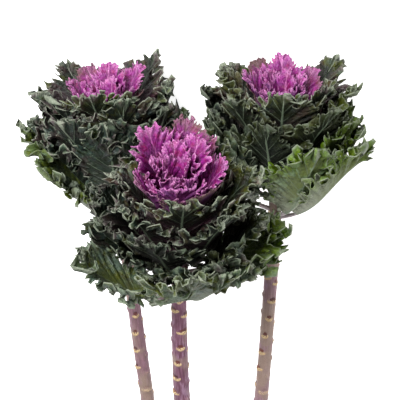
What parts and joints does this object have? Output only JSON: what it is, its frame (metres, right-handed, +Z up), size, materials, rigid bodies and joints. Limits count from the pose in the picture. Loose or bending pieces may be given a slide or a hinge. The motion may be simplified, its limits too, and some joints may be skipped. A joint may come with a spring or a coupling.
{
  "type": "purple kale bunch",
  "caption": "Bunch of cut ornamental kale lying down: bare scarred stems, heads of frilly green leaves and fringed purple hearts.",
  "frame": {"origin": "middle of the bounding box in X and Y, at the surface that the bunch lies on", "axes": "+Y along the bunch from the cut ends of the stems to the heads, +Z up from the surface, +X across the bunch"},
  "size_m": [0.2812, 0.46, 0.2163],
  "materials": {
    "stem": "satin",
    "leaf": "matte",
    "heart": "matte"
  },
  "bodies": {
    "root": {"stem_front": "stem", "leaves_front": "leaf", "heart_front": "heart", "stem_left": "stem", "leaves_left": "leaf", "heart_left": "heart", "stem_right": "stem", "leaves_right": "leaf", "heart_right": "heart"}
  },
  "joints": []
}
